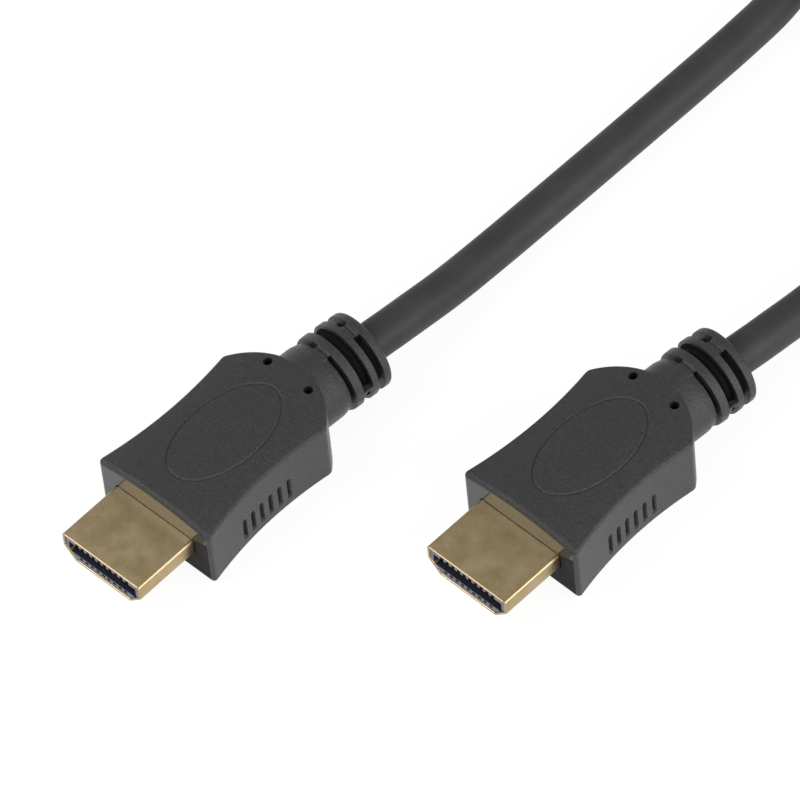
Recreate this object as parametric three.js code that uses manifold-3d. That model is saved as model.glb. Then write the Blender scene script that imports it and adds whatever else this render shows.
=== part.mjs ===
// A digital video cable with the same moulded plug at both ends, in millimetres, +Z up.
// Both plugs lie flat, side by side and staggered, with their metal tips towards -Y. Both ends of the cable
// run off towards +Y to the rest of its length, which is wound into a round coil and held by a strap.
// The origin is on the surface below the middle of the two plugs.

import * as THREE from 'three'
import { mergeVertices } from 'three/addons/utils/BufferGeometryUtils.js'
import Module from 'manifold-3d'

const wasm = await Module()
wasm.setup()

// Where the two plugs lie, and how far plug B is turned about its tip, in degrees
const PLUG_SPACING_X = 37.4
const PLUG_STAGGER_Y = 28.8
const PLUG_B_TURN = -0.94

// Metal shell: a folded sheet tube with its two lower corners cut off at 45 degrees
const SHELL_WIDTH = 13.9
const SHELL_HEIGHT = 4.45
const SHELL_CHAMFER = 2.05
const SHELL_SHEET = 0.35
const SHELL_CORNER = 0.45
const SHELL_VISIBLE = 10.1
const SHELL_EMBEDDED = 3
const SHELL_MIDDLE_Z = 4.65

// Insulator: the block inside the shell, with the slot that takes the socket's tongue
const INSULATOR_CLEARANCE = 0.05
const INSULATOR_RECESS = 0.2
const SLOT_WIDTH = 12
const SLOT_DEPTH = 8
const SLOT_TOP = 1.05
const SLOT_BOTTOM = -0.8

// Contacts: ten above the slot and nine below it, half a spacing across
const CONTACT_SPACING = 1
const CONTACTS_ABOVE = 10
const CONTACTS_BELOW = 9
const CONTACT_WIDTH = 0.42
const CONTACT_HEIGHT = 0.36
const CONTACT_RECESS = 1.3
const CONTACT_CLEARANCE = 0.06
const CHANNEL_DEPTH = 0.62
const CHANNEL_LIP = 1

// Grip: the flat part of the overmould, waisted in plan, with a crowned top and an arched rear end
const GRIP_FRONT_WIDTH = 20.1
const GRIP_WAIST_WIDTH = 17.1
const GRIP_REAR_WIDTH = 18.7
const GRIP_TO_WAIST = 13
const GRIP_LENGTH = 22.7
const GRIP_ARCH = 4.9
const GRIP_SIDE_HEIGHT = 9.85
const GRIP_CROWN = 0.9
const GRIP_EDGE = 0.6
const POCKET_CLEARANCE = 0.15

// Two small round holes in the grip's top, near its rear end
const PIN_HOLE_DIAMETER = 1.3
const PIN_HOLE_DEPTH = 2
const PIN_HOLE_SPACING = 7.3
const PIN_HOLE_FROM_FRONT = 25.4

// Row of upright finger slots in each side of the grip
const FINGER_SLOTS = 6
const FINGER_SLOT_SPACING = 1.75
const FINGER_SLOT_LENGTH = 0.6
const FINGER_SLOT_DEPTH = 0.35
const FINGER_SLOT_LOW = 2
const FINGER_SLOT_HIGH = 5.3
const FINGER_SLOTS_MIDDLE = 11.8

// Strain relief: a ribbed boot in one piece with the grip, a little wider than high and bent a little sideways
const BOOT_LENGTH = 37.9
const BOOT_NECK_WIDTH = 11.65
const BOOT_RING_WIDTH = 12
const BOOT_END_RING_WIDTH = 11.85
const BOOT_END_WIDTH = 10.6
const BOOT_END_ROUND = 0.6
const BOOT_VALLEY_WIDTH = 11.3
const BOOT_FLATNESS = 0.9
const BOOT_MIDDLE_Z = 5.4
const BOOT_ROOT = 20
const BOOT_FIRST_VALLEY = 31.2
const BOOT_RING_SPACING = 2.4
const BOOT_BEND = 1.34
const BOOT_BEND_START = 16
const BOOT_SOCKET_DEPTH = 3

// Slots in the three valleys between the boot's rings, each left solid at two opposite webs
const BOOT_SLOT_LENGTHS = [0.6, 1.25, 0.9]
const BOOT_SLOT_FLOOR_WIDTH = 8.8
const BOOT_TOP_WEB_WIDTH = 2.4
const BOOT_SIDE_WEB_WIDTH = 1

// Cable
const CABLE_DIAMETER = 5.6
const CABLE_SIDES = 10
const CABLE_STEP = 11
const CABLE_CLEARANCE = 0.3

// Coil: two layers of turns lying beside and on each other
const COIL_CENTRE = [7, 133.8]
const COIL_INNER_TURN_RADIUS = 22.5
const COIL_TURNS_ACROSS = 3
const COIL_TURN_SPACING = 5.7
const COIL_INWARD_BOW = 0.8
const COIL_LAYERS = 2

// Strap round the coil
const STRAP_WIDTH = 10
const STRAP_THICKNESS = 1.2
const STRAP_ANGLE = 90
const STRAP_LIFT = 1.2

// Routes of the two runs, from inside each boot to the coil, relative to the tip of their own plug
const LYING = CABLE_DIAMETER / 2
const LEAVING_BOOT = [
  [1.25, 46.9, 5.4], [1.5, 49.9, 5.38], [1.77, 53, 5.2], [1.91, 57, 4.75], [1.97, 61, 4.15], [1.91, 65, 3.55],
  [1.82, 69, 3.1], [1.85, 74, 2.85], [1.95, 79, LYING]
]
const RUN_A = [
  ...LEAVING_BOOT, [2.19, 90, LYING], [2.4, 101, LYING], [2.58, 112, LYING], [2.62, 121, LYING],
  [2.3, 128.5, LYING], [0.6, 136.7, LYING], [-4, 145.2, LYING], [-9.4, 153, LYING], [-12.7, 161, LYING],
  [-13.8, 168, LYING], [-13.9, 172.2, LYING]
]
const RUN_B = [
  ...LEAVING_BOOT, [2.3, 86, LYING], [3.9, 93.6, 3], [7.6, 101.6, 3.8], [12.5, 109.7, 5.1], [17.4, 117.8, 6.6],
  [21.6, 126.4, 7.8], [24.7, 135.1, 8.35], [25.5, 143.8, 8.45]
]

// How far a cutting block reaches past the body that it cuts
const CUT_MARGIN = 1

// Lengths along a plug, measured from its tip
const gripFront = SHELL_VISIBLE
const shellEnd = SHELL_VISIBLE + SHELL_EMBEDDED
const plugLength = gripFront + BOOT_LENGTH

const overmouldMaterial = new THREE.MeshStandardMaterial({ color: 0x3c3c3c, roughness: 0.62, metalness: 0 })
const cableMaterial = new THREE.MeshStandardMaterial({ color: 0x3a3a3a, roughness: 0.5, metalness: 0 })
const shellMaterial = new THREE.MeshStandardMaterial({ color: 0xa8946a, roughness: 0.35, metalness: 1 })
const insulatorMaterial = new THREE.MeshStandardMaterial({ color: 0x50566a, roughness: 0.5, metalness: 0 })
const contactMaterial = new THREE.MeshStandardMaterial({ color: 0x8f7a4a, roughness: 0.35, metalness: 1 })
const strapMaterial = new THREE.MeshStandardMaterial({ color: 0x1c1c1e, roughness: 0.9, metalness: 0 })

// Turns a closed geometry into a solid that can be joined and cut
function toSolid(geometry) {
  geometry.deleteAttribute('normal')
  geometry.deleteAttribute('uv')
  const merged = mergeVertices(geometry, 1e-4)
  const vertProperties = new Float32Array(merged.attributes.position.array)
  const triVerts = new Uint32Array(merged.index.array)
  return new wasm.Manifold(new wasm.Mesh({ numProp: 3, vertProperties, triVerts }))
}

function toGeometry(solid) {
  const mesh = solid.getMesh()
  const positions = new Float32Array(mesh.numVert * 3)
  for (let vertex = 0; vertex < mesh.numVert; vertex++) {
    for (let axis = 0; axis < 3; axis++) {
      positions[vertex * 3 + axis] = mesh.vertProperties[vertex * mesh.numProp + axis]
    }
  }
  const geometry = new THREE.BufferGeometry()
  geometry.setAttribute('position', new THREE.BufferAttribute(positions, 3))
  geometry.setIndex(new THREE.BufferAttribute(new Uint32Array(mesh.triVerts), 1))
  geometry.computeVertexNormals()
  return geometry
}

function shapeThrough(points) {
  return new THREE.Shape(points.map(([across, up]) => new THREE.Vector2(across, up)))
}

// Extrudes a shape drawn in X and Z along Y
function extrudeAlongY(shape, start, end) {
  const geometry = new THREE.ExtrudeGeometry(shape, { depth: end - start, bevelEnabled: false })
  geometry.rotateX(Math.PI / 2)
  geometry.translate(0, end, 0)
  return geometry
}

// Extrudes a shape drawn in X and Y along Z
function extrudeAlongZ(shape, start, end) {
  const geometry = new THREE.ExtrudeGeometry(shape, { depth: end - start, bevelEnabled: false })
  geometry.translate(0, 0, start)
  return geometry
}

function boxBetween(low, high) {
  const size = high.map((value, axis) => value - low[axis])
  const middle = high.map((value, axis) => (value + low[axis]) / 2)
  return new THREE.BoxGeometry(...size).translate(...middle)
}

// Section of the shell, offset inwards by a distance, or outwards by a negative one, about its own middle
function shellSection(inset) {
  const halfWidth = SHELL_WIDTH / 2 - inset
  const halfHeight = SHELL_HEIGHT / 2 - inset
  const chamfer = SHELL_CHAMFER - inset * (2 - Math.SQRT2)
  const corner = Math.max(SHELL_CORNER - inset, SHELL_CORNER / 9)
  const points = [
    [halfWidth - chamfer, -halfHeight],
    [halfWidth, -halfHeight + chamfer]
  ]
  const cornerSteps = 3
  for (let step = 0; step <= cornerSteps; step++) {
    const turn = (step / cornerSteps) * Math.PI / 2
    points.push([
      halfWidth - corner + corner * Math.cos(turn),
      halfHeight - corner + corner * Math.sin(turn)
    ])
  }
  const mirrored = points.map(([across, up]) => [-across, up]).reverse()
  return [...points, ...mirrored].map(([across, up]) => [across, up + SHELL_MIDDLE_Z])
}

function makeShell() {
  const shape = shapeThrough(shellSection(0))
  const inside = shellSection(SHELL_SHEET).map(([across, up]) => new THREE.Vector2(across, up))
  shape.holes.push(new THREE.Path(inside))
  return extrudeAlongY(shape, 0, shellEnd)
}

// Middle of each contact across the plug, above or below the slot
function contactPlaces(count) {
  return Array.from({ length: count }, (_, index) => (index - (count - 1) / 2) * CONTACT_SPACING)
}

function makeInsulator() {
  const front = INSULATOR_RECESS
  const slotEnd = front + SLOT_DEPTH
  const slotTop = SHELL_MIDDLE_Z + SLOT_TOP
  const slotBottom = SHELL_MIDDLE_Z + SLOT_BOTTOM
  const channelHalf = CONTACT_WIDTH / 2 + CONTACT_CLEARANCE
  const outline = shapeThrough(shellSection(SHELL_SHEET + INSULATOR_CLEARANCE))
  let body = toSolid(extrudeAlongY(outline, front, shellEnd))
  const cut = (low, high) => {
    body = body.subtract(toSolid(boxBetween(low, high)))
  }
  const ahead = front - CUT_MARGIN
  cut([-SLOT_WIDTH / 2, ahead, slotBottom], [SLOT_WIDTH / 2, slotEnd, slotTop])
  for (const across of contactPlaces(CONTACTS_ABOVE)) {
    const middle = (slotTop + slotBottom) / 2
    cut([across - channelHalf, ahead, middle], [across + channelHalf, slotEnd, slotTop + CHANNEL_DEPTH])
  }
  for (const across of contactPlaces(CONTACTS_BELOW)) {
    const floor = slotBottom - CHANNEL_DEPTH
    const windowTop = slotBottom - CHANNEL_DEPTH / 4
    const middle = (slotTop + slotBottom) / 2
    cut([across - channelHalf, ahead, floor], [across + channelHalf, slotEnd, windowTop])
    cut([across - channelHalf, front + CHANNEL_LIP, floor], [across + channelHalf, slotEnd, middle])
  }
  return toGeometry(body)
}

// One spring contact, lying against the bottom of its channel; side is 1 above the slot and -1 below it
function makeContact(across, side) {
  const slotWall = SHELL_MIDDLE_Z + (side > 0 ? SLOT_TOP : SLOT_BOTTOM)
  const farFace = slotWall + side * (CHANNEL_DEPTH - CONTACT_CLEARANCE)
  const nearFace = farFace - side * CONTACT_HEIGHT
  const low = [across - CONTACT_WIDTH / 2, INSULATOR_RECESS + CONTACT_RECESS, Math.min(farFace, nearFace)]
  const end = INSULATOR_RECESS + SLOT_DEPTH - CONTACT_CLEARANCE
  const high = [across + CONTACT_WIDTH / 2, end, Math.max(farFace, nearFace)]
  return boxBetween(low, high)
}

// Half the grip's width at a distance behind its front face
function gripHalfWidth(behind) {
  const toWaist = behind - GRIP_TO_WAIST
  const reach = toWaist < 0 ? GRIP_TO_WAIST : GRIP_LENGTH - GRIP_TO_WAIST
  const widest = toWaist < 0 ? GRIP_FRONT_WIDTH : GRIP_REAR_WIDTH
  return (GRIP_WAIST_WIDTH + (widest - GRIP_WAIST_WIDTH) * (toWaist / reach) ** 2) / 2
}

// Plan of the grip: a straight front, two hollow sides and an arched rear
function gripPlan() {
  const side = []
  const sideSteps = 12
  for (let step = 0; step <= sideSteps; step++) {
    const behind = GRIP_LENGTH * step / sideSteps
    side.push([gripHalfWidth(behind), gripFront + behind])
  }
  const halfRear = GRIP_REAR_WIDTH / 2
  const archRadius = (halfRear ** 2 + GRIP_ARCH ** 2) / (2 * GRIP_ARCH)
  const archMiddle = gripFront + GRIP_LENGTH + GRIP_ARCH - archRadius
  const halfTurn = Math.asin(halfRear / archRadius)
  const archSteps = 7
  for (let step = 1; step < archSteps; step++) {
    const turn = halfTurn * (1 - step / archSteps)
    side.push([archRadius * Math.sin(turn), archMiddle + archRadius * Math.cos(turn)])
  }
  const apex = [0, gripFront + GRIP_LENGTH + GRIP_ARCH]
  const mirrored = side.map(([across, along]) => [-across, along]).reverse()
  return shapeThrough([...side, apex, ...mirrored])
}

// Section of the grip across the plug: flat below, crowned on top, with its long edges taken off
function gripSection() {
  const half = GRIP_FRONT_WIDTH / 2
  const topAt = (across) => GRIP_SIDE_HEIGHT + GRIP_CROWN * (1 - (2 * across / GRIP_REAR_WIDTH) ** 2)
  const crownSteps = 10
  const points = [[-half + GRIP_EDGE / 2, 0], [half - GRIP_EDGE / 2, 0], [half, GRIP_EDGE / 2]]
  for (let step = 0; step <= crownSteps; step++) {
    const across = half * (1 - 2 * step / crownSteps)
    points.push([across, topAt(across)])
  }
  points.push([-half, GRIP_EDGE / 2])
  return shapeThrough(points)
}

// Half widths of the boot at distances behind the grip's front face
function bootProfile() {
  const neck = BOOT_NECK_WIDTH / 2
  const ring = BOOT_RING_WIDTH / 2
  const endRing = BOOT_END_RING_WIDTH / 2
  const valley = BOOT_VALLEY_WIDTH / 2
  const socket = (CABLE_DIAMETER / 2 + CABLE_CLEARANCE) / BOOT_FLATNESS
  const quarter = BOOT_RING_SPACING / 4
  const profile = [[0, BOOT_ROOT], [neck, BOOT_ROOT], [neck, BOOT_FIRST_VALLEY - quarter]]
  const rings = [ring, ring]
  rings.forEach((radius, index) => {
    const middle = BOOT_FIRST_VALLEY + index * BOOT_RING_SPACING
    profile.push([valley, middle])
    profile.push([radius, middle + quarter])
    profile.push([radius, middle + 3 * quarter])
  })
  const lastValley = BOOT_FIRST_VALLEY + rings.length * BOOT_RING_SPACING
  profile.push([valley, lastValley])
  profile.push([endRing, lastValley + quarter])
  profile.push([endRing, BOOT_LENGTH - BOOT_END_ROUND])
  profile.push([BOOT_END_WIDTH / 2, BOOT_LENGTH])
  profile.push([socket, BOOT_LENGTH])
  profile.push([socket, BOOT_LENGTH - BOOT_SOCKET_DEPTH])
  profile.push([0, BOOT_LENGTH - BOOT_SOCKET_DEPTH])
  return profile.map(([radius, behind]) => new THREE.Vector2(radius, gripFront + behind))
}

// How far the boot's middle line has bent sideways at a distance behind the grip's front face, and its slope
function bootBend(behind) {
  const reach = BOOT_LENGTH - BOOT_BEND_START
  const share = Math.max(behind - BOOT_BEND_START, 0) / reach
  return { shift: BOOT_BEND * share ** 2, slope: 2 * BOOT_BEND * share / reach }
}

// One slot between two of the boot's rings: a ring less its two webs, which lie across it or up and down
function bootSlot(middle, length, websAtSides) {
  const floor = BOOT_SLOT_FLOOR_WIDTH / 2
  const beyond = BOOT_RING_WIDTH
  const start = gripFront + middle - length / 2
  const end = start + length
  const profile = [[floor, start], [beyond, start], [beyond, end], [floor, end], [floor, start]]
  const ring = new THREE.LatheGeometry(profile.map(([radius, along]) => new THREE.Vector2(radius, along)), 24)
  const halfAcross = websAtSides ? beyond + CUT_MARGIN : BOOT_TOP_WEB_WIDTH / 2
  const halfUp = websAtSides ? BOOT_SIDE_WEB_WIDTH / 2 : beyond + CUT_MARGIN
  const webs = boxBetween([-halfAcross, start - CUT_MARGIN, -halfUp], [halfAcross, end + CUT_MARGIN, halfUp])
  return toSolid(ring).subtract(toSolid(webs))
}

function makeBoot() {
  let boot = toSolid(new THREE.LatheGeometry(bootProfile(), 24))
  BOOT_SLOT_LENGTHS.forEach((length, index) => {
    const middle = BOOT_FIRST_VALLEY + index * BOOT_RING_SPACING
    boot = boot.subtract(bootSlot(middle, length, index === 1))
  })
  return boot.warp((vertex) => {
    const { shift, slope } = bootBend(vertex[1] - gripFront)
    vertex[1] -= vertex[0] * slope
    vertex[0] += shift
    vertex[2] = vertex[2] * BOOT_FLATNESS + BOOT_MIDDLE_Z
  })
}

// One upright finger slot, cut into the side of the grip at a distance behind its front face
function fingerSlot(side, behind) {
  const inner = gripHalfWidth(behind) - FINGER_SLOT_DEPTH
  const outer = GRIP_FRONT_WIDTH / 2 + CUT_MARGIN
  const start = gripFront + behind - FINGER_SLOT_LENGTH / 2
  const low = [side > 0 ? inner : -outer, start, FINGER_SLOT_LOW]
  const high = [side > 0 ? outer : -inner, start + FINGER_SLOT_LENGTH, FINGER_SLOT_HIGH]
  return boxBetween(low, high)
}

function makeOvermould() {
  const tall = GRIP_SIDE_HEIGHT + 2 * GRIP_CROWN
  const plan = toSolid(extrudeAlongZ(gripPlan(), 0, tall))
  const section = toSolid(extrudeAlongY(gripSection(), gripFront, plugLength))
  const pocketShape = shapeThrough(shellSection(-POCKET_CLEARANCE))
  const pocket = toSolid(extrudeAlongY(pocketShape, gripFront - CUT_MARGIN, shellEnd + POCKET_CLEARANCE))
  let body = plan.intersect(section).add(makeBoot()).subtract(pocket)
  for (const side of [-1, 1]) {
    const hole = new THREE.CylinderGeometry(PIN_HOLE_DIAMETER / 2, PIN_HOLE_DIAMETER / 2, 2 * PIN_HOLE_DEPTH, 12)
    hole.rotateX(Math.PI / 2)
    hole.translate(side * PIN_HOLE_SPACING / 2, gripFront + PIN_HOLE_FROM_FRONT, GRIP_SIDE_HEIGHT + GRIP_CROWN)
    body = body.subtract(toSolid(hole))
    for (let index = 0; index < FINGER_SLOTS; index++) {
      const behind = FINGER_SLOTS_MIDDLE + (index - (FINGER_SLOTS - 1) / 2) * FINGER_SLOT_SPACING
      body = body.subtract(toSolid(fingerSlot(side, behind)))
    }
  }
  return toGeometry(body)
}

function makeMesh(name, geometry, material) {
  const mesh = new THREE.Mesh(geometry, material)
  mesh.name = name
  return mesh
}

function makePlug(name) {
  const plug = new THREE.Group()
  plug.add(makeMesh(`${name}_overmould`, makeOvermould(), overmouldMaterial))
  plug.add(makeMesh(`${name}_shell`, makeShell(), shellMaterial))
  plug.add(makeMesh(`${name}_insulator`, makeInsulator(), insulatorMaterial))
  const rows = [
    ...contactPlaces(CONTACTS_ABOVE).map((across) => [across, 1]),
    ...contactPlaces(CONTACTS_BELOW).map((across) => [across, -1])
  ]
  rows.sort((first, second) => first[0] - second[0])
  rows.forEach(([across, side], index) => {
    const label = String(index + 1).padStart(2, '0')
    plug.add(makeMesh(`${name}_contact_${label}`, makeContact(across, side), contactMaterial))
  })
  return plug
}

const coilTop = CABLE_DIAMETER + (COIL_LAYERS - 1) * COIL_TURN_SPACING
const coilInside = COIL_INNER_TURN_RADIUS - COIL_INWARD_BOW - CABLE_DIAMETER / 2
const coilOutside = COIL_INNER_TURN_RADIUS + COIL_TURNS_ACROSS * COIL_TURN_SPACING + CABLE_DIAMETER / 2

// Outer shape of the coil as a ring about Z, grown by a margin
function coilRing(margin) {
  const inside = coilInside - margin
  const outside = coilOutside + margin
  const low = -margin
  const high = coilTop + margin
  const round = CABLE_DIAMETER / 4
  const profile = [
    [inside, low + round], [inside + round, low], [outside - round, low], [outside, low + round],
    [outside, high - round], [outside - round, high], [inside + round, high], [inside, high - round],
    [inside, low + round]
  ]
  const ring = new THREE.LatheGeometry(profile.map(([radius, up]) => new THREE.Vector2(radius, up)), 48)
  ring.rotateX(Math.PI / 2)
  ring.translate(COIL_CENTRE[0], COIL_CENTRE[1], 0)
  return toSolid(ring)
}

// Block across the coil's section where the strap goes round it, between two distances from the coil's middle
function strapBlock(inside, outside, low, high, width) {
  const block = boxBetween([inside, -width / 2, low], [outside, width / 2, high])
  block.rotateZ(THREE.MathUtils.degToRad(STRAP_ANGLE))
  block.translate(COIL_CENTRE[0], COIL_CENTRE[1], 0)
  return toSolid(block)
}

// The strap's inner face stays clear of the hollow side of the coil all across the strap's width
const strapInside = Math.sqrt(coilInside ** 2 - (STRAP_WIDTH / 2) ** 2) - CABLE_CLEARANCE
const strapOutside = coilOutside + CABLE_CLEARANCE

function makeCoil() {
  const notchTop = STRAP_THICKNESS + CABLE_CLEARANCE
  const notchWidth = STRAP_WIDTH + 2 * CABLE_CLEARANCE
  const [near, far] = [strapInside - CUT_MARGIN, strapOutside + CUT_MARGIN]
  const notch = strapBlock(near, far, -CUT_MARGIN, notchTop, notchWidth)
  return toGeometry(coilRing(0).subtract(notch))
}

function makeStrap() {
  const top = coilTop + STRAP_LIFT
  const inner = strapBlock(strapInside, strapOutside, STRAP_THICKNESS, top, STRAP_WIDTH + 2 * CUT_MARGIN)
  const outer = strapBlock(
    strapInside - STRAP_THICKNESS, strapOutside + STRAP_THICKNESS, 0, top + STRAP_THICKNESS, STRAP_WIDTH
  )
  return toGeometry(outer.subtract(inner))
}

// A stretch of cable through its points, cut back where it meets the coil
function makeRun(points, plug) {
  plug.updateMatrix()
  const places = points.map((point) => new THREE.Vector3(...point).applyMatrix4(plug.matrix))
  const route = new THREE.CatmullRomCurve3(places, false, 'centripetal')
  const section = new THREE.Shape()
  for (let side = 0; side < CABLE_SIDES; side++) {
    const turn = 2 * Math.PI * side / CABLE_SIDES
    const corner = [CABLE_DIAMETER / 2 * Math.cos(turn), CABLE_DIAMETER / 2 * Math.sin(turn)]
    if (side === 0) section.moveTo(...corner)
    else section.lineTo(...corner)
  }
  section.closePath()
  const steps = Math.round(route.getLength() / CABLE_STEP)
  const tube = new THREE.ExtrudeGeometry(section, { extrudePath: route, steps, bevelEnabled: false })
  // Slivers where the tube grazes the coil are dropped, and the run itself is kept
  const pieces = toSolid(tube).subtract(coilRing(CABLE_CLEARANCE)).decompose()
  const run = pieces.reduce((largest, piece) => (piece.volume() > largest.volume() ? piece : largest))
  return toGeometry(run)
}

const cable = new THREE.Group()
cable.name = 'video_cable'

const plugA = makePlug('plug_a')
plugA.position.set(-PLUG_SPACING_X / 2, -(PLUG_STAGGER_Y + plugLength) / 2, 0)
const plugB = makePlug('plug_b')
plugB.position.set(PLUG_SPACING_X / 2, (PLUG_STAGGER_Y - plugLength) / 2, 0)
plugB.rotation.z = THREE.MathUtils.degToRad(PLUG_B_TURN)
cable.add(plugA)
cable.add(plugB)
cable.add(makeMesh('cable_run_a', makeRun(RUN_A, plugA), cableMaterial))
cable.add(makeMesh('cable_run_b', makeRun(RUN_B, plugB), cableMaterial))
cable.add(makeMesh('cable_coil', makeCoil(), cableMaterial))
cable.add(makeMesh('cable_strap', makeStrap(), strapMaterial))

export default cable
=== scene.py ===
import math
import bmesh
import bpy
import numpy as np
from mathutils import Matrix, Vector


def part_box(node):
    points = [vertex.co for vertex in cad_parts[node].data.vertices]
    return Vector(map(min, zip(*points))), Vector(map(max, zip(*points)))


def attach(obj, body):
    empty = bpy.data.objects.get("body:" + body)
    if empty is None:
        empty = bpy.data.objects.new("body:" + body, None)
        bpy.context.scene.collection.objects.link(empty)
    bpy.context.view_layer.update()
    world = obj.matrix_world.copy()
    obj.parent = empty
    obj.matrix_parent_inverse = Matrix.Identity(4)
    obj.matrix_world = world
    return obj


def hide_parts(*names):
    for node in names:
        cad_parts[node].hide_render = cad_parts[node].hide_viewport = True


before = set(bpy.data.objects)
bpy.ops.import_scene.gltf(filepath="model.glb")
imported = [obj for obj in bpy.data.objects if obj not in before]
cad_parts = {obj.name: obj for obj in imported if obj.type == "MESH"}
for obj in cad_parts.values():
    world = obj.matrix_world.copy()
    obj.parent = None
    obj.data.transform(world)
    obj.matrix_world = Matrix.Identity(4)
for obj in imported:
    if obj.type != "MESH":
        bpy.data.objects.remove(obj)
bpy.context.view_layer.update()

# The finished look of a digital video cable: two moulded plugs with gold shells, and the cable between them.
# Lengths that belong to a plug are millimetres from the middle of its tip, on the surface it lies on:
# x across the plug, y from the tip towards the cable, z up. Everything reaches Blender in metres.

MM = 0.001

# Where the tip of each plug lies, in millimetres, and how many degrees the plug is turned about it
PLUGS = {"plug_a": (-18.7, -38.4, 0), "plug_b": (18.7, -9.6, -0.94)}
SHELL_VISIBLE = 10.1
CONTACTS = 19


# Takes a plug's millimetres to millimetres of the frame
def plug_matrix(plug):
    x, y, turn = PLUGS[plug]
    return Matrix.Translation((x, y, 0)) @ Matrix.Rotation(math.radians(turn), 4, "Z")


# Grip
GRIP_FRONT_WIDTH = 20.1
GRIP_WAIST_WIDTH = 17.1
GRIP_REAR_WIDTH = 18.7
GRIP_TO_WAIST = 13
GRIP_LENGTH = 22.7
GRIP_ARCH = 4.9
GRIP_SIDE_HEIGHT = 9.85
GRIP_CROWN = 0.9
GRIP_FRONT_ROUND = 0.75
GRIP_TOP_ROUND = 0.5
GRIP_BOTTOM_ROUND = 0.5
GRIP_CORNER_BLEND = 0.35
POCKET_CLEARANCE = 0.16
POCKET_DEPTH = 2.2
POCKET_LIP = 0.06
FRONT_FACE_SHARES = (0.02, 0.5, 0.98)
GRIP_LEAST_ROUND = 0.1
GRIP_STEP = 0.13
GRIP_REAR_REACH = 0.6
GRIP_REAR_STEP = 0.1
GRIP_ARCH_STEPS = 40
GRIP_ARCH_LAST_TURN = 0.3
GRIP_FRONT_STEPS = 7
GRIP_BOTTOM_STEPS = 8
GRIP_ROUND_STEPS = 6
GRIP_WALL_STEPS = 51
GRIP_TOP_STEPS = 85

# Marks on the grip
OVAL_MIDDLE = 23.5
OVAL_HALF_WIDTH = 5.26
OVAL_HALF_LENGTH = 9.3
OVAL_LINE = 0.2
OVAL_DEPTH = 0.16
OVAL_SEARCH = 0.5
SIDE_SLOTS = 6
SIDE_SLOT_FIRST = 17.5
SIDE_SLOT_SPACING = 1.68
SIDE_SLOT_LOW = 1.6
SIDE_SLOT_HIGH = 5.2
SIDE_SLOT_HALF = 0.24
SIDE_SLOT_DEPTH = 0.6
PIN_HOLE_RADIUS = 0.65
PIN_HOLE_SPACING = 7.3
PIN_HOLE_PLACE = 35.5
PIN_HOLE_DEPTH = 2
PIN_HOLE_SIDES = 32

# Boot
BOOT_LENGTH = 37.9
BOOT_NECK_WIDTH = 11.65
BOOT_RING_WIDTH = 12
BOOT_END_RING_WIDTH = 11.85
BOOT_END_ROUND = 0.6
BOOT_VALLEY_WIDTH = 11.3
BOOT_FLATNESS = 0.9
BOOT_MIDDLE_Z = 5.4
BOOT_ROOT = 20
BOOT_FIRST_VALLEY = 31.2
BOOT_RING_SPACING = 2.4
BOOT_BEND = 1.34
BOOT_BEND_START = 16
BOOT_RING_ROUND = 0.8
NECK_STEP = 0.28
NECK_STEP_START = 29.3
PARTING_LINE_ANGLE = 93
PARTING_LINE_DEPTH = 0.12
PARTING_LINE_HALF = 0.09
BOOT_SLOT_LENGTHS = (0.5, 1.5, 1.1)
BOOT_SLOT_DEPTH = 2.4
BOOT_SLOT_WALL = 0.1
BOOT_TOP_WEB_ANGLE = 13
BOOT_SIDE_WEB_ANGLE = 85
BOOT_WEB_EDGE = 0.12
BOOT_SIDES = 300
BOOT_STEP = 0.06
BOOT_FINE_LEAD = 0.2
BOOT_ROOT_STEPS = 23
BOOT_END_STEPS = 9

# The moulding's finishes beside its grained surface: name, grey, specular level and range of roughness.
# The polished front face mirrors the shell. Its right end is dull and barely reflecting as painted shade,
# standing in for the shadowed floor under the shell that it would mirror, and the near-black slot shade is
# painted shade on the deep part of the boot's slots.
MOULDING_FINISHES = (
    ("polished_moulding", 0.02, 0.42, 0.1, 0.18),
    # Painted shade: a dull, barely reflecting copy of the moulding that keeps the front face's right end dark
    ("dull_moulding_painted_shade", 0.026, 0.08, 0.65, 0.75),
    # Painted shade: a near-black copy of the moulding for the deep part of the boot's slots
    ("moulding_painted_slot_shade", 0.006, 0.1, 0.7, 0.85),
)

# The places of those finishes in the moulding's list of materials, and which faces have them
POLISHED, DULL_SHADED, BOOT_SLOT_SHADE = 1, 2, 3
FRONT_FACING = 0.97
FRONT_DEPTH = 0.05
DULL_SHADE_BELOW_ANGLE = 19
# The deep part of the boot's slots that gets painted shade: from and to these distances behind the front
# face, and deeper than this below the valleys
BOOT_SHADE_FROM = 30
BOOT_SHADE_TO = 37
BOOT_SHADE_BELOW = 0.35

# Shell
SHELL_WIDTH = 13.9
SHELL_HEIGHT = 4.45
SHELL_CHAMFER = 2.05
SHELL_SHEET = 0.35
SHELL_CORNER = 0.45
SHELL_LOW_CORNER = 0.35
SHELL_LEAST_CORNER = 0.05
SHELL_CORNER_STEPS = 8
SHELL_LIP_STEPS = 8
SHELL_EMBEDDED = 3
SHELL_MIDDLE_Z = 4.65

# Rounding errors allowed where a ray meets the shell's outline
RAY_PARALLEL = 1e-12
RAY_MARGIN = 1e-9
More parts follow.
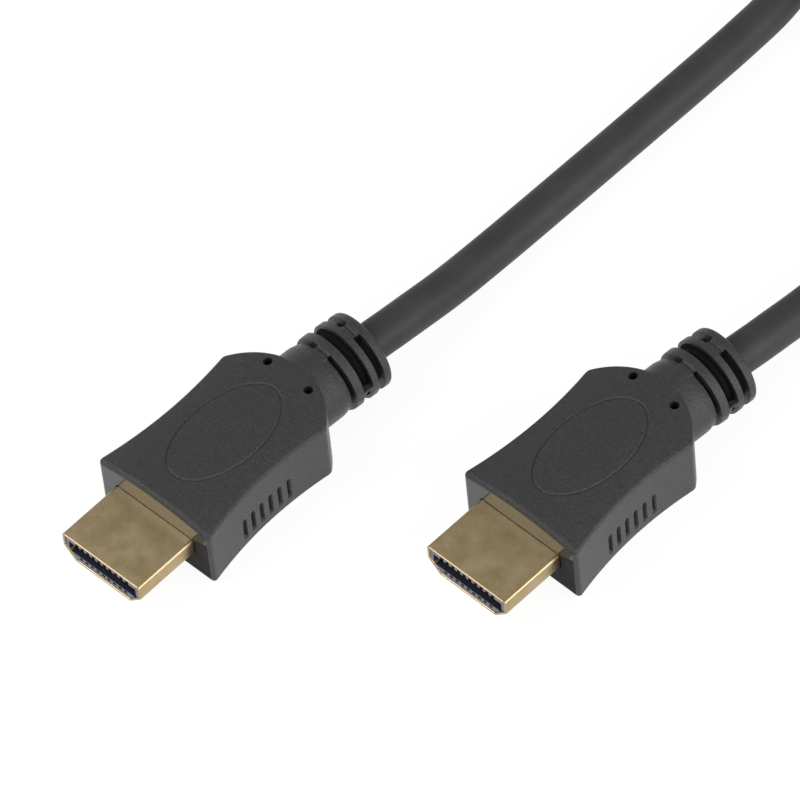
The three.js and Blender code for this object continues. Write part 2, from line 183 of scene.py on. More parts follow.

# Cable
CABLE_DIAMETER = 5.6
LYING = CABLE_DIAMETER / 2
LEAVING_BOOT = [
    (1.25, 46.9, 5.4), (1.5, 49.9, 5.38), (1.77, 53, 5.2), (1.91, 57, 4.75), (1.97, 61, 4.15),
    (1.91, 65, 3.55), (1.82, 69, 3.1), (1.85, 74, 2.85), (1.95, 79, LYING),
]
RUN_A = LEAVING_BOOT + [
    (2.19, 90, LYING), (2.4, 101, LYING), (2.58, 112, LYING), (2.62, 121, LYING), (2.3, 128.5, LYING),
    (0.6, 136.7, LYING), (-4, 145.2, LYING), (-9.4, 153, LYING), (-12.7, 161, LYING), (-13.8, 168, LYING),
]
RUN_B = LEAVING_BOOT + [
    (2.3, 86, LYING), (3.9, 93.6, 3), (7.6, 101.6, 3.8), (12.5, 109.7, 5.1), (17.4, 117.8, 6.6),
    (21.6, 126.4, 7.8), (24.7, 135.1, 8.35),
]
COIL_CENTRE = (7, 133.8)
COIL_INNER_TURN_RADIUS = 22.5
COIL_TURNS_ACROSS = 3
COIL_TURNS_CLIMBING = 0.5
COIL_TURN_SPACING = 5.7
COIL_INWARD_BOW = 0.75
COIL_POINTS_PER_TURN = 48
ROUTE_SPACING = 2
CABLE_BEVEL_STEPS = 10

# Strap, and how far round the coil the turns are lifted by it
STRAP_THICKNESS = 1.2
STRAP_CORNER = 3.2
STRAP_CORNER_STEPS = 8
STRAP_EDGE = 0.25
STRAP_LIFT = 1.2
STRAP_LIFT_ANGLE = 50

# Edges sharper than this many degrees aren't smoothed
MOULDING_SHARP = 40
SHEET_SHARP = 50

# Camera, fitted to the corners of both plugs in the photograph, in millimetres and degrees
CAMERA_TARGET = (-8.04, 6.49, 5)
CAMERA_DISTANCE = 1021.09
CAMERA_AZIMUTH = 48.253
CAMERA_ELEVATION = 52.2
CAMERA_ROLL = -6.459
CAMERA_LENS = 352.9
CAMERA_SENSOR = 36
CAMERA_REACH = 20

# Stage and light, in metres and watts
FLOOR_HALF = 3
FLOOR_DROP = 0.00002
WORLD_STRENGTH = 0.5
SIDE_LIGHT_PLACE = (0.95, 0.15, 0.45)
SIDE_LIGHT_TARGET = (0, 0.01, 0)
SIDE_LIGHT_SIZE = (1.2, 0.7)
SIDE_LIGHT_POWER = 10
KEY_LIGHT_PLACE = (-0.34, -0.4, 0.53)
KEY_LIGHT_TARGET = (0, 0, 0)
KEY_LIGHT_SIZE = (0.36, 0.58)
KEY_LIGHT_POWER = 3


# The camera looks back at its target from its azimuth and elevation, rolled about the line of sight
def make_camera():
    azimuth = math.radians(CAMERA_AZIMUTH)
    elevation = math.radians(CAMERA_ELEVATION)
    back = Vector((
        math.sin(azimuth) * math.cos(elevation),
        -math.cos(azimuth) * math.cos(elevation),
        math.sin(elevation),
    ))
    camera = bpy.data.objects.new("camera", bpy.data.cameras.new("camera"))
    camera.data.sensor_width = CAMERA_SENSOR
    camera.data.lens = CAMERA_LENS
    camera.data.clip_end = CAMERA_REACH
    right = Vector((0, 0, 1)).cross(back).normalized()
    up = back.cross(right)
    turn = Matrix((right, up, back)).transposed().to_4x4()
    roll = Matrix.Rotation(math.radians(CAMERA_ROLL), 4, "Z")
    place = (Vector(CAMERA_TARGET) + back * CAMERA_DISTANCE) * MM
    camera.matrix_world = Matrix.Translation(place) @ turn @ roll
    bpy.context.scene.collection.objects.link(camera)
    bpy.context.scene.camera = camera


# Points along a centripetal Catmull-Rom curve through a list of points
def smooth_route(points, spacing):
    points = [np.array(point, float) for point in points]
    ends = [2 * points[0] - points[1], *points, 2 * points[-1] - points[-2]]
    route = []
    for before, start, end, after in zip(ends, ends[1:], ends[2:], ends[3:]):
        knots = [0.0]
        for first, second in ((before, start), (start, end), (end, after)):
            knots.append(knots[-1] + math.sqrt(np.linalg.norm(second - first)))
        steps = max(2, round(np.linalg.norm(end - start) / spacing))
        for step in range(steps):
            at = knots[1] + (knots[2] - knots[1]) * step / steps
            level = [before, start, end, after]
            for depth in (1, 2, 3):
                level = [
                    ((high - at) * a + (at - low) * b) / (high - low)
                    for a, b, low, high in blend_pairs(level, knots, depth)
                ]
            route.append(level[0])
    route.append(points[-1])
    return route


# The pairs of points and knots that one level of the curve blends
def blend_pairs(level, knots, depth):
    spans = {
        1: [(0, 1), (1, 2), (2, 3)],
        2: [(0, 2), (1, 3)],
        3: [(1, 2)],
    }[depth]
    return [(level[i], level[i + 1], knots[low], knots[high]) for i, (low, high) in enumerate(spans)]


# The coil: in along the lower layer, half a turn up, and out along the upper layer
def coil_route():
    lower = COIL_TURNS_ACROSS
    total = 2 * COIL_TURNS_ACROSS + COIL_TURNS_CLIMBING
    route = []
    count = round(total * COIL_POINTS_PER_TURN)
    for step in range(count + 1):
        turns = total * step / count
        climb = min(max((turns - lower) / COIL_TURNS_CLIMBING, 0), 1)
        out = max(turns - lower - COIL_TURNS_CLIMBING, 0)
        spiral = max(lower - turns, 0) + out
        radius = COIL_INNER_TURN_RADIUS + COIL_TURN_SPACING * spiral
        radius -= COIL_INWARD_BOW * math.sin(math.pi * climb)
        angle = math.pi - 2 * math.pi * turns
        height = LYING + COIL_TURN_SPACING * (climb * climb * (3 - 2 * climb))
        height += STRAP_LIFT * strap_nearness(angle)
        route.append(np.array([
            COIL_CENTRE[0] + radius * math.cos(angle),
            COIL_CENTRE[1] + radius * math.sin(angle),
            height,
        ]))
    return route


# 1 under the strap, falling smoothly to 0 on both sides
def strap_nearness(angle):
    away = (angle - math.pi / 2 + math.pi) % (2 * math.pi) - math.pi
    share = min(abs(away) / math.radians(STRAP_LIFT_ANGLE), 1)
    return 0.5 + 0.5 * math.cos(math.pi * share)


# The cable's middle line, from plug A through the coil to plug B
def cable_route():
    run_a = [plug_matrix("plug_a") @ Vector(point) for point in RUN_A]
    run_b = [plug_matrix("plug_b") @ Vector(point) for point in RUN_B]
    return smooth_route([*run_a, *coil_route(), *reversed(run_b)], ROUTE_SPACING)


def make_cable(material):
    route = cable_route()
    curve = bpy.data.curves.new("cable", "CURVE")
    curve.dimensions = "3D"
    curve.bevel_depth = CABLE_DIAMETER / 2 * MM
    curve.bevel_resolution = CABLE_BEVEL_STEPS
    curve.use_fill_caps = True
    spline = curve.splines.new("POLY")
    spline.points.add(len(route) - 1)
    for point, place in zip(spline.points, route):
        point.co = (*(place * MM), 1)
    spline.use_smooth = True
    cable = bpy.data.objects.new("cable", curve)
    bpy.context.scene.collection.objects.link(cable)
    curve.materials.append(material)
    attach(cable, "root")
    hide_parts("cable_run_a", "cable_coil", "cable_run_b")


# Sockets of a node that mixes colours
MIX_SHARE, MIX_FIRST, MIX_SECOND, MIX_RESULT = 0, 6, 7, 2


# Materials
def node_material(name, color, roughness, metallic=0, specular=0.5):
    material = bpy.data.materials.new(name)
    material.use_nodes = True
    shader = material.node_tree.nodes["Principled BSDF"]
    shader.inputs["Base Color"].default_value = (*color, 1)
    shader.inputs["Roughness"].default_value = roughness
    shader.inputs["Metallic"].default_value = metallic
    shader.inputs["Specular IOR Level"].default_value = specular
    return material, shader


# Adds a node and sets its sockets, or its own settings where it has no such socket
def add_node(material, kind, **values):
    node = material.node_tree.nodes.new(kind)
    for name, value in values.items():
        if name in node.inputs:
            node.inputs[name].default_value = value
        else:
            setattr(node, name, value)
    return node


def link(material, source, target):
    material.node_tree.links.new(source, target)


# Noise in object space, in grains of a size in metres
def noise(material, grain, detail=3, roughness=0.6):
    place = add_node(material, "ShaderNodeTexCoord")
    texture = add_node(material, "ShaderNodeTexNoise", Scale=1 / grain, Detail=detail, Roughness=roughness)
    link(material, place.outputs["Object"], texture.inputs["Vector"])
    return texture.outputs["Fac"]


def add_bump(material, shader, source, height, strength):
    bump = add_node(material, "ShaderNodeBump", Distance=height, Strength=strength)
    link(material, source, bump.inputs["Height"])
    link(material, bump.outputs["Normal"], shader.inputs["Normal"])


# Spreads a noise's values between least and most over the range from low to high
def spread_noise(material, source, least, most, low=0, high=1):
    limits = {"From Min": least, "From Max": most, "To Min": low, "To Max": high}
    node = add_node(material, "ShaderNodeMapRange", **limits)
    link(material, source, node.inputs["Value"])
    return node.outputs["Result"]


# Varies a value with a noise
def vary(material, source, low, high, target):
    link(material, spread_noise(material, source, 0.3, 0.7, low, high), target)


# Varies a colour with a noise
def vary_color(material, source, low, high, target):
    mix = add_node(material, "ShaderNodeMix", data_type="RGBA")
    mix.inputs[MIX_FIRST].default_value = (*low, 1)
    mix.inputs[MIX_SECOND].default_value = (*high, 1)
    link(material, spread_noise(material, source, 0.35, 0.65), mix.inputs[MIX_SHARE])
    link(material, mix.outputs[MIX_RESULT], target)


# The grained surface of grip and boot
def overmould_material():
    material, shader = node_material("charcoal_moulding", (0.03, 0.03, 0.03), 0.45, specular=0.48)
    fine = noise(material, 0.00045, 5, 0.7)
    vary_color(material, fine, (0.016, 0.016, 0.016), (0.028, 0.028, 0.028), shader.inputs["Base Color"])
    vary(material, fine, 0.26, 0.46, shader.inputs["Roughness"])
    add_bump(material, shader, fine, 0.00016, 1)
    return material


# One of the moulding's smooth finishes
def finish_material(name, grey, specular, smoothest, roughest):
    material, shader = node_material(name, (grey, grey, grey), roughest, specular=specular)
    broad = noise(material, 0.002, 2)
    vary(material, broad, smoothest, roughest, shader.inputs["Roughness"])
    return material


def cable_material():
    material, shader = node_material("charcoal_sheath", (0.03, 0.03, 0.03), 0.55, specular=0.3)
    fine = noise(material, 0.0004, 3)
    broad = noise(material, 0.006, 2)
    vary_color(material, broad, (0.028, 0.028, 0.028), (0.035, 0.035, 0.035), shader.inputs["Base Color"])
    vary(material, fine, 0.5, 0.6, shader.inputs["Roughness"])
    add_bump(material, shader, fine, 0.00002, 0.4)
    return material


def shell_material():
    material, shader = node_material("gold_plating", (0.5, 0.4, 0.22), 0.32, metallic=1)
    broad = noise(material, 0.0025, 3)
    fine = noise(material, 0.0003, 3)
    vary_color(material, broad, (0.41, 0.31, 0.165), (0.48, 0.375, 0.225), shader.inputs["Base Color"])
    vary(material, broad, 0.3, 0.4, shader.inputs["Roughness"])
    add_bump(material, shader, fine, 0.00001, 0.3)
    return material


def insulator_material():
    material, shader = node_material("blue_grey_insulator", (0.12, 0.13, 0.19), 0.45)
    fine = noise(material, 0.0003, 3)
    vary_color(material, fine, (0.1, 0.11, 0.17), (0.14, 0.15, 0.22), shader.inputs["Base Color"])
    add_bump(material, shader, fine, 0.00001, 0.3)
    return material


# Painted shade: a near-black copy of the insulator's material for its slot and channels, standing in for the
# shade inside them
def insulator_shade_material():
    material, shader = node_material("insulator_painted_slot_shade", (0.012, 0.013, 0.02), 0.5)
    fine = noise(material, 0.0003, 3)
    vary_color(material, fine, (0.01, 0.011, 0.018), (0.015, 0.016, 0.024), shader.inputs["Base Color"])
    return material


# Painted shade: the contacts' gold is darkened to stand in for the shade deep in the insulator's channels
def contact_shade_material():
    material, shader = node_material("contact_plating_painted_shade", (0.16, 0.13, 0.07), 0.4, metallic=1)
    fine = noise(material, 0.0002, 2)
    vary(material, fine, 0.36, 0.46, shader.inputs["Roughness"])
    return material


def strap_material():
    material, shader = node_material("hook_and_loop_tape", (0.012, 0.012, 0.014), 0.95)
    fine = noise(material, 0.0005, 5, 0.8)
    vary_color(material, fine, (0.008, 0.008, 0.009), (0.022, 0.022, 0.025), shader.inputs["Base Color"])
    add_bump(material, shader, fine, 0.0003, 0.8)
    return material


def floor_material():
    material, shader = node_material("pale_floor", (0.1, 0.1, 0.1), 0.9, specular=0)
    shader.inputs["Emission Color"].default_value = (1, 1, 1, 1)
    shader.inputs["Emission Strength"].default_value = 0.92
    return material


# Meshes
def mesh_object(name, vertices, faces):
    mesh = bpy.data.meshes.new(name)
    mesh.from_pydata([tuple(vertex) for vertex in vertices], [], faces)
    mesh.validate()
    made = bpy.data.objects.new(name, mesh)
    bpy.context.scene.collection.objects.link(made)
    fix_normals(made)
    smooth_faces(mesh)
    return made


def smooth_faces(mesh):
    mesh.polygons.foreach_set("use_smooth", [True] * len(mesh.polygons))


def fix_normals(made):
    work = bmesh.new()
    work.from_mesh(made.data)
    bmesh.ops.recalc_face_normals(work, faces=work.faces)
    work.to_mesh(made.data)
    work.free()


# Quads between loops of equally many vertices, with the first and last loop capped
def loft_faces(loops, around):
    first = tuple(range(around - 1, -1, -1))
    last = tuple((loops - 1) * around + side for side in range(around))
    return quad_faces(loops, around) + [first, last]


# The same without caps, with quads from the last loop back to the first
def ring_faces(loops, around):
    faces = quad_faces(loops, around)
    last = (loops - 1) * around
    for side in range(around):
        following = (side + 1) % around
        faces.append((side, following, last + following, last + side))
    return faces


def quad_faces(loops, around):
    faces = []
    for loop in range(loops - 1):
        for side in range(around):
            following = (side + 1) % around
            start = loop * around
            end = start + around
            faces.append((start + side, start + following, end + following, end + side))
    return faces


# Joins or cuts a target with a tool, which is used up
def boolean(target, tool, operation):
    modifier = target.modifiers.new("cut", "BOOLEAN")
    modifier.operation = operation
    modifier.object = tool
    modifier.solver = "EXACT"
    apply_modifiers(target)
    bpy.data.objects.remove(tool, do_unlink=True)


def apply_modifiers(target):
    bpy.context.view_layer.update()
    graph = bpy.context.evaluated_depsgraph_get()
    mesh = bpy.data.meshes.new_from_object(target.evaluated_get(graph))
    old = target.data
    target.modifiers.clear()
    target.data = mesh
    bpy.data.meshes.remove(old)


# Half the grip's width along its hollow sides, at a distance behind its front face
def side_half_width(behind):
    to_waist = behind - GRIP_TO_WAIST
    reach = GRIP_TO_WAIST if to_waist < 0 else GRIP_LENGTH - GRIP_TO_WAIST
    widest = GRIP_FRONT_WIDTH if to_waist < 0 else GRIP_REAR_WIDTH
    return (GRIP_WAIST_WIDTH + (widest - GRIP_WAIST_WIDTH) * (to_waist / reach) ** 2) / 2


# The radius of the grip's arched rear end, and how far behind the front face its middle is
def grip_arch():
    half = GRIP_REAR_WIDTH / 2
    radius = (half**2 + GRIP_ARCH**2) / (2 * GRIP_ARCH)
    return radius, GRIP_LENGTH + GRIP_ARCH - radius


def arch_half_width(behind):
    radius, middle = grip_arch()
    return math.sqrt(max(radius**2 - max(behind - middle, 0) ** 2, 0))


# The lesser of two widths with the corner between them rounded
def grip_half_width(behind):
    side, arch = side_half_width(behind), arch_half_width(behind)
    gap = max(GRIP_CORNER_BLEND - abs(side - arch), 0) / GRIP_CORNER_BLEND
    return min(side, arch) - gap**2 * GRIP_CORNER_BLEND / 4


# Height of the grip's crowned top, less the line of the oval
def top_height(x, y):
    height = GRIP_SIDE_HEIGHT + GRIP_CROWN * (1 - (2 * x / GRIP_REAR_WIDTH) ** 2)
    return height - oval_line(x, y)


# How deep the oval's line is at a place on the top
def oval_line(x, y):
    across, along = x / OVAL_HALF_WIDTH, (y - OVAL_MIDDLE) / OVAL_HALF_LENGTH
    reach = math.hypot(across, along)
    if abs(reach - 1) > OVAL_SEARCH:
        return 0
    slope = math.hypot(across / OVAL_HALF_WIDTH, along / OVAL_HALF_LENGTH) / reach
    away = abs(reach - 1) / slope
    if away > OVAL_LINE:
        return 0
    return OVAL_DEPTH * (0.5 + 0.5 * math.cos(math.pi * away / OVAL_LINE))


# How far the side wall is cut in at a height, where the finger slots are
def side_slot(y, z):
    depth = 0
    rim = 1.5 * SIDE_SLOT_HALF
    beyond = max(SIDE_SLOT_LOW + SIDE_SLOT_HALF - z, z - SIDE_SLOT_HIGH + SIDE_SLOT_HALF, 0)
    for index in range(SIDE_SLOTS):
        away = math.hypot(y - SIDE_SLOT_FIRST - index * SIDE_SLOT_SPACING, beyond)
        if away < rim:
            share = min((rim - away) / SIDE_SLOT_HALF, 1)
            depth = max(depth, SIDE_SLOT_DEPTH * share * share * (3 - 2 * share))
    return depth


# One section of the grip across the plug, pulled in all round by an inset. The rounded top edge ends
# a little off the crowned top, and that lift fades out towards the middle.
def grip_section(y, half, inset):
    half -= inset
    low = inset
    bottom_round = max(GRIP_BOTTOM_ROUND - inset / 2, GRIP_LEAST_ROUND)
    top_round = max(GRIP_TOP_ROUND - inset / 2, GRIP_LEAST_ROUND)
    side_top = top_height(half, y) - inset
    points = []
    for share in np.linspace(0, 1, GRIP_BOTTOM_STEPS, endpoint=False):
        points.append((share * (half - bottom_round), low))
    for turn in np.linspace(-math.pi / 2, 0, GRIP_ROUND_STEPS, endpoint=False):
        points.append((half + bottom_round * (math.cos(turn) - 1), low + bottom_round * (1 + math.sin(turn))))
    side_low, side_high = low + bottom_round, side_top - top_round
    for z in np.linspace(side_low, side_high, GRIP_WALL_STEPS, endpoint=False):
        points.append((half - side_slot(y, z), z))
    slope = GRIP_CROWN * 2 * (2 / GRIP_REAR_WIDTH) ** 2 * half
    lean = math.atan(slope)
    for turn in np.linspace(0, math.pi / 2 - lean, GRIP_ROUND_STEPS, endpoint=False):
        points.append((half + top_round * (math.cos(turn) - 1), side_high + top_round * math.sin(turn)))
    start = half + top_round * (math.sin(lean) - 1)
    lift = side_high + top_round * math.cos(lean) - (top_height(start, y) - inset)
    for share in np.linspace(1, 0, GRIP_TOP_STEPS + 1):
        x = share * start
        points.append((x, top_height(x, y) - inset + lift * share**6))
    mirrored = [(-x, z) for x, z in points[1:-1]][::-1]
    return [(x, y, z) for x, z in points + mirrored]


# Where the grip's sections stand behind its front face, and how far each one is pulled in
def grip_stations():
    stations = []
    for turn in np.linspace(0, math.pi / 2, GRIP_FRONT_STEPS, endpoint=False):
        behind = GRIP_FRONT_ROUND * (1 - math.cos(turn))
        stations.append((behind, GRIP_FRONT_ROUND * (1 - math.sin(turn))))
    rear_start, rear_end = GRIP_LENGTH - GRIP_REAR_REACH, GRIP_LENGTH + GRIP_REAR_REACH
    for behind in np.arange(GRIP_FRONT_ROUND, rear_start, GRIP_STEP):
        stations.append((behind, 0))
    for behind in np.arange(rear_start, rear_end, GRIP_REAR_STEP):
        stations.append((behind, 0))
    radius, middle = grip_arch()
    start = math.acos((rear_end - middle) / radius)
    for turn in np.linspace(start, GRIP_ARCH_LAST_TURN, GRIP_ARCH_STEPS):
        stations.append((middle + radius * math.cos(turn), 0))
    return stations


# Section of the shell, pulled in all round by an inset, with its corners rounded
def shell_outline(inset):
    half_width = SHELL_WIDTH / 2 - inset
    half_height = SHELL_HEIGHT / 2 - inset
    chamfer = SHELL_CHAMFER - inset * (2 - math.sqrt(2))
    corner = max(SHELL_CORNER - inset, SHELL_LEAST_CORNER)
    low_round = max(SHELL_LOW_CORNER - inset, SHELL_LEAST_CORNER)
    corners = [
        ((half_width - chamfer, -half_height), -math.pi / 2, -math.pi / 4, low_round),
        ((half_width, -half_height + chamfer), -math.pi / 4, 0, low_round),
        ((half_width, half_height), 0, math.pi / 2, corner),
    ]
    points = []
    for (x, z), first, last, radius in corners:
        back = radius * math.tan((last - first) / 2)
        middle_turn = (first + last) / 2
        reach = math.hypot(radius, back)
        centre = (x - reach * math.cos(middle_turn), z - reach * math.sin(middle_turn))
        for turn in np.linspace(first, last, SHELL_CORNER_STEPS):
            points.append((centre[0] + radius * math.cos(turn), centre[1] + radius * math.sin(turn)))
    mirrored = [(-x, z) for x, z in points][::-1]
    return [(x, z + SHELL_MIDDLE_Z) for x, z in points + mirrored]


# Where rays from the shell's middle, at the angles of the grip's points, meet an outline
def outline_at_angles(outline, angles):
    centre = np.array([0, SHELL_MIDDLE_Z])
    corners = np.array(outline) - centre
    following = np.roll(corners, -1, axis=0)
    points = []
    for angle in angles:
        ray = np.array([math.cos(angle), math.sin(angle)])
        best = None
        for a, b in zip(corners, following):
            edge = b - a
            across = ray[0] * edge[1] - ray[1] * edge[0]
            if abs(across) < RAY_PARALLEL:
                continue
            reach = (a[0] * edge[1] - a[1] * edge[0]) / across
            share = (a[0] * ray[1] - a[1] * ray[0]) / across
            if reach > 0 and -RAY_MARGIN <= share <= 1 + RAY_MARGIN:
                best = reach if best is None else max(best, reach)
        points.append(centre + ray * best)
    return points


# The grip as one loft: from the bottom of the shell's pocket, over the front face, to the rear end
def make_grip():
    vertices = []
    front = grip_section(SHELL_VISIBLE, grip_half_width(0), GRIP_FRONT_ROUND)
    angles = [math.atan2(z - SHELL_MIDDLE_Z, x) for x, y, z in front]
    pocket = outline_at_angles(shell_outline(-POCKET_CLEARANCE), angles)
    for depth in (POCKET_DEPTH, POCKET_LIP, 0):
        vertices += [(x, SHELL_VISIBLE + depth, z) for x, z in pocket]
    for share in FRONT_FACE_SHARES:
        vertices += [
            (x + share * (front_x - x), SHELL_VISIBLE, z + share * (front_z - z))
            for (x, z), (front_x, _, front_z) in zip(pocket, front)
        ]
    for behind, inset in grip_stations():
        vertices += grip_section(SHELL_VISIBLE + behind, grip_half_width(behind), inset)
    around = len(front)
    loops = len(vertices) // around
    return mesh_object("grip", vertices, loft_faces(loops, around))


# Slots between the boot's rings: middle and half length along the boot, first and last angle from the top.
# The middle two leave webs at the boot's sides, and the others leave them at its top and bottom.
def boot_slots():
    slots = []
    for index, length in enumerate(BOOT_SLOT_LENGTHS):
        middle = BOOT_FIRST_VALLEY + index * BOOT_RING_SPACING
        if index == 1:
            slots.append((middle, length / 2, -BOOT_SIDE_WEB_ANGLE, BOOT_SIDE_WEB_ANGLE))
            slots.append((middle, length / 2, 180 - BOOT_SIDE_WEB_ANGLE, 180 + BOOT_SIDE_WEB_ANGLE))
        else:
            slots.append((middle, length / 2, BOOT_TOP_WEB_ANGLE, 180 - BOOT_TOP_WEB_ANGLE))
            slots.append((middle, length / 2, BOOT_TOP_WEB_ANGLE - 180, -BOOT_TOP_WEB_ANGLE))
    return slots


# How far the boot's middle line has bent sideways, and its slope there
def boot_bend(behind):
    reach = BOOT_LENGTH - BOOT_BEND_START
    share = max(behind - BOOT_BEND_START, 0) / reach
    return BOOT_BEND * share**2, 2 * BOOT_BEND * share / reach


# Half width of the boot at a distance behind the grip's front face, without its slots
def boot_half_width(behind):
    neck, ring = BOOT_NECK_WIDTH / 2, BOOT_RING_WIDTH / 2
    end_ring, valley = BOOT_END_RING_WIDTH / 2, BOOT_VALLEY_WIDTH / 2
    first, spacing = BOOT_FIRST_VALLEY, BOOT_RING_SPACING
    last = first + 2 * spacing
    if behind < first:
        top = neck
    elif behind < last:
        top = ring
    else:
        top = end_ring
    shoulder = BOOT_LENGTH - BOOT_END_ROUND
    if behind > shoulder:
        share = (behind - shoulder) / BOOT_END_ROUND
        return top - BOOT_END_ROUND * (1 - math.sqrt(max(1 - share**2, 0)))
    nearest = min(abs(behind - first - step * spacing) for step in range(3))
    share = min(nearest / BOOT_RING_ROUND, 1)
    return valley + (top - valley) * math.sqrt(1 - (1 - share) ** 2)


# The boot as one loft of bent and flattened rings, with its slots and marks cut in
def make_boot():
    fine_start = NECK_STEP_START - BOOT_FINE_LEAD
    root = np.linspace(BOOT_ROOT, fine_start, BOOT_ROOT_STEPS, endpoint=False)
    fine = np.arange(fine_start, BOOT_LENGTH - BOOT_END_ROUND, BOOT_STEP)
    end_turns = np.linspace(0, math.pi / 2, BOOT_END_STEPS + 1)
    end = BOOT_LENGTH - BOOT_END_ROUND * (1 - np.sin(end_turns))
    stations = [*root, *fine, *end]
    slots = boot_slots()
    vertices = []
    for behind in stations:
        half = boot_half_width(behind)
        shift, slope = boot_bend(behind)
        for step in range(BOOT_SIDES):
            angle = 360 * step / BOOT_SIDES
            radius = half - max(boot_slot_depth(behind, angle, slots), boot_mark_depth(behind, angle))
            turn = math.radians(angle)
            across = radius * math.sin(turn)
            vertices.append((
                across + shift,
                SHELL_VISIBLE + behind - across * slope,
                radius * math.cos(turn) * BOOT_FLATNESS + BOOT_MIDDLE_Z,
            ))
    return mesh_object("boot", vertices, loft_faces(len(stations), BOOT_SIDES))


# How deep the slots are at a place on the boot, the angle being from the top
def boot_slot_depth(behind, angle, slots):
    deepest = 0
    for middle, half, first, last in slots:
        low, high = min(first, last), max(first, last)
        centre, reach = (low + high) / 2, (high - low) / 2
        away = abs((angle - centre + 180) % 360 - 180) - reach
        beyond = max(away * math.pi / 180 * BOOT_RING_WIDTH / 2, 0)
        outside = max(abs(behind - middle) - half, beyond)
        share = min(max(0.5 - outside / BOOT_SLOT_WALL, 0), 1)
        deepest = max(deepest, BOOT_SLOT_DEPTH * share)
    return deepest


# The low step on the neck beside its top and bottom webs, and the parting line along both sides
def boot_mark_depth(behind, angle):
    beside = abs((angle + 90) % 180 - 90)
    millimetres = BOOT_RING_WIDTH / 2 * math.pi / 180
    edge = min(max((beside - BOOT_TOP_WEB_ANGLE) * millimetres / BOOT_WEB_EDGE + 0.5, 0), 1)
    depth = 0
    if NECK_STEP_START < behind < BOOT_FIRST_VALLEY:
        share = (behind - NECK_STEP_START) / (BOOT_FIRST_VALLEY - NECK_STEP_START)
        depth = NECK_STEP * edge * share * share * (3 - 2 * share)
    around = min(angle, 360 - angle)
    away = abs(around - PARTING_LINE_ANGLE) * millimetres
    if behind > BOOT_FIRST_VALLEY and away < PARTING_LINE_HALF:
        depth = PARTING_LINE_DEPTH * (1 - away / PARTING_LINE_HALF)
    return depth


# The cylinder that cuts a pin hole, at a distance across the plug
def make_pin_hole(across):
    turns = [2 * math.pi * side / PIN_HOLE_SIDES for side in range(PIN_HOLE_SIDES)]
    ring = [
        (across + PIN_HOLE_RADIUS * math.cos(turn), PIN_HOLE_PLACE + PIN_HOLE_RADIUS * math.sin(turn))
        for turn in turns
    ]
    top = GRIP_SIDE_HEIGHT + GRIP_CROWN
    vertices = [(*place, z) for z in (top - PIN_HOLE_DEPTH - 1, top + 1) for place in ring]
    return mesh_object("hole", vertices, loft_faces(2, PIN_HOLE_SIDES))


# Grip and boot in one, with the two pin holes
def make_overmould_mesh():
    body = make_grip()
    boolean(body, make_boot(), "UNION")
    for side in (-1, 1):
        boolean(body, make_pin_hole(side * PIN_HOLE_SPACING / 2), "DIFFERENCE")
    smooth_faces(body.data)
    mark_sharp_edges(body.data, MOULDING_SHARP)
    mark_faces(body.data)
    mesh = body.data
    bpy.data.objects.remove(body)
    return mesh


def mark_sharp_edges(mesh, degrees):
    work = bmesh.new()
    work.from_mesh(mesh)
    for edge in work.edges:
        if len(edge.link_faces) == 2:
            edge.smooth = edge.calc_face_angle(0) < math.radians(degrees)
    work.to_mesh(mesh)
    work.free()


# Marks the front face, polished round the shell and dull at its right end as painted shade, and the deep part
# of the boot's slots, which gets painted shade
def mark_faces(mesh):
    for polygon in mesh.polygons:
        behind = polygon.center.y - SHELL_VISIBLE
        across = polygon.center.x - boot_bend(behind)[0]
        reach = math.hypot(across, (polygon.center.z - BOOT_MIDDLE_Z) / BOOT_FLATNESS)
        if behind < FRONT_DEPTH and polygon.normal.y < -FRONT_FACING:
            turn = math.degrees(math.atan2(polygon.center.z - SHELL_MIDDLE_Z, polygon.center.x))
            # The right end of the front face gets the dull copy as painted shade
            polygon.material_index = DULL_SHADED if -90 < turn < DULL_SHADE_BELOW_ANGLE else POLISHED
        # Faces deep inside the boot's slots get the near-black copy as painted shade
        elif BOOT_SHADE_FROM < behind < BOOT_SHADE_TO and reach < BOOT_VALLEY_WIDTH / 2 - BOOT_SHADE_BELOW:
            polygon.material_index = BOOT_SLOT_SHADE


# A piece from a mesh in plug millimetres, set at its plug
def place_piece(name, mesh, plug, materials, node):
    mesh = mesh.copy()
    mesh.name = name
    mesh.transform(Matrix.Scale(MM, 4) @ plug_matrix(plug))
    for index, material in enumerate(materials):
        if index < len(mesh.materials):
            mesh.materials[index] = material
        else:
            mesh.materials.append(material)
    piece = bpy.data.objects.new(name, mesh)
    bpy.context.scene.collection.objects.link(piece)
    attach(piece, "root")
    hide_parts(node)


# The shell: a sheet tube with a rounded lip at its open end
def make_shell_mesh():
    lip = SHELL_SHEET / 2
    rear = SHELL_VISIBLE + SHELL_EMBEDDED
    loops = [(0, rear)]
    for turn in np.linspace(0, math.pi, SHELL_LIP_STEPS + 1):
        loops.append((lip - lip * math.cos(turn), lip - lip * math.sin(turn)))
    loops.append((SHELL_SHEET, rear))
    vertices = []
    for inset, y in loops:
        vertices += [(x, y, z) for x, z in shell_outline(inset)]
    made = mesh_object("shell", vertices, ring_faces(len(loops), len(shell_outline(0))))
    mark_sharp_edges(made.data, SHEET_SHARP)
    mesh = made.data
    bpy.data.objects.remove(made)
    return mesh


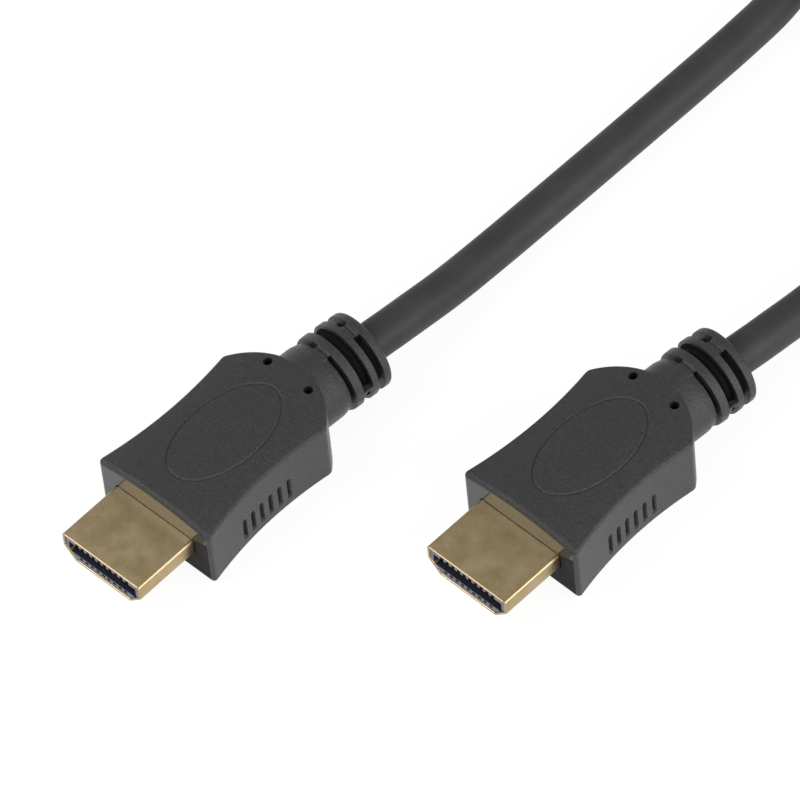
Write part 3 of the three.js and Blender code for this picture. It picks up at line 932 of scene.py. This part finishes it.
# The strap: a flat tape in a rounded loop that fills the box of its solid
def make_strap(material):
    low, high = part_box("cable_strap")
    low, high = np.array(low) / MM, np.array(high) / MM
    middle = (low + high) / 2
    half = (high - low) / 2
    sections = []
    for inset in (0, STRAP_THICKNESS):
        loop = []
        for sign_y, sign_z, first in ((1, 1, 0), (-1, 1, 90), (-1, -1, 180), (1, -1, 270)):
            radius = STRAP_CORNER - inset
            for turn in np.linspace(math.radians(first), math.radians(first + 90), STRAP_CORNER_STEPS + 1):
                loop.append((
                    middle[1] + sign_y * (half[1] - inset - radius) + radius * math.cos(turn),
                    middle[2] + sign_z * (half[2] - inset - radius) + radius * math.sin(turn),
                ))
        sections.append(loop)
    outer, inner = sections
    reach = half[0] - STRAP_EDGE
    rings = [(outer, -reach), (outer, reach), (inner, reach), (inner, -reach)]
    vertices = []
    for loop, x in rings:
        vertices += [(middle[0] + x, y, z) for y, z in loop]
    faces = ring_faces(len(rings), len(outer))
    made = mesh_object("strap", [np.array(vertex) * MM for vertex in vertices], faces)
    made.data.materials.append(material)
    mark_sharp_edges(made.data, SHEET_SHARP)
    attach(made, "root")
    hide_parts("cable_strap")


# Gives one of the solids its material
def dress_node(node, material):
    piece = bpy.data.objects[node]
    piece.data.materials.clear()
    piece.data.materials.append(material)


# Gives the painted slot shade to the faces that don't look towards the plug's tip
def paint_insulator_shade(mesh, material):
    mesh.materials.append(material)
    for polygon in mesh.polygons:
        if polygon.normal.y > -FRONT_FACING:
            polygon.material_index = 1


# Stage and light
def make_floor():
    corners = [(x * FLOOR_HALF, y * FLOOR_HALF, -FLOOR_DROP) for x, y in ((-1, -1), (1, -1), (1, 1), (-1, 1))]
    floor = mesh_object("floor", corners, [(0, 1, 2, 3)])
    floor.data.materials.append(floor_material())


def add_light(name, place, target, size, power):
    lamp = bpy.data.lights.new(name, "AREA")
    lamp.shape = "RECTANGLE"
    lamp.size, lamp.size_y = size
    lamp.energy = power
    light = bpy.data.objects.new(name, lamp)
    light.location = place
    light.rotation_euler = (Vector(target) - Vector(place)).to_track_quat("-Z", "Y").to_euler()
    bpy.context.scene.collection.objects.link(light)


# A pale world, a soft light at the plugs' right, and a smaller one high up before their left
def make_light():
    world = bpy.data.worlds.new("studio")
    world.use_nodes = True
    background = world.node_tree.nodes["Background"]
    background.inputs["Color"].default_value = (1, 1, 1, 1)
    background.inputs["Strength"].default_value = WORLD_STRENGTH
    bpy.context.scene.world = world
    add_light("side", SIDE_LIGHT_PLACE, SIDE_LIGHT_TARGET, SIDE_LIGHT_SIZE, SIDE_LIGHT_POWER)
    add_light("key", KEY_LIGHT_PLACE, KEY_LIGHT_TARGET, KEY_LIGHT_SIZE, KEY_LIGHT_POWER)
    bpy.context.scene.view_settings.view_transform = "Standard"


make_camera()
make_cable(cable_material())
moulding = [overmould_material(), *(finish_material(*finish) for finish in MOULDING_FINISHES)]
plating = shell_material()
insulation = insulator_material()
insulator_slot_shade = insulator_shade_material()
shaded_contact_metal = contact_shade_material()
overmould_mesh = make_overmould_mesh()
shell_mesh = make_shell_mesh()
for plug in PLUGS:
    place_piece(f"{plug}_moulding", overmould_mesh, plug, moulding, f"{plug}_overmould")
    place_piece(f"{plug}_sheet_shell", shell_mesh, plug, [plating], f"{plug}_shell")
    dress_node(f"{plug}_insulator", insulation)
    paint_insulator_shade(bpy.data.objects[f"{plug}_insulator"].data, insulator_slot_shade)
    for number in range(1, CONTACTS + 1):
        dress_node(f"{plug}_contact_{number:02d}", shaded_contact_metal)
make_strap(strap_material())
make_floor()
make_light()
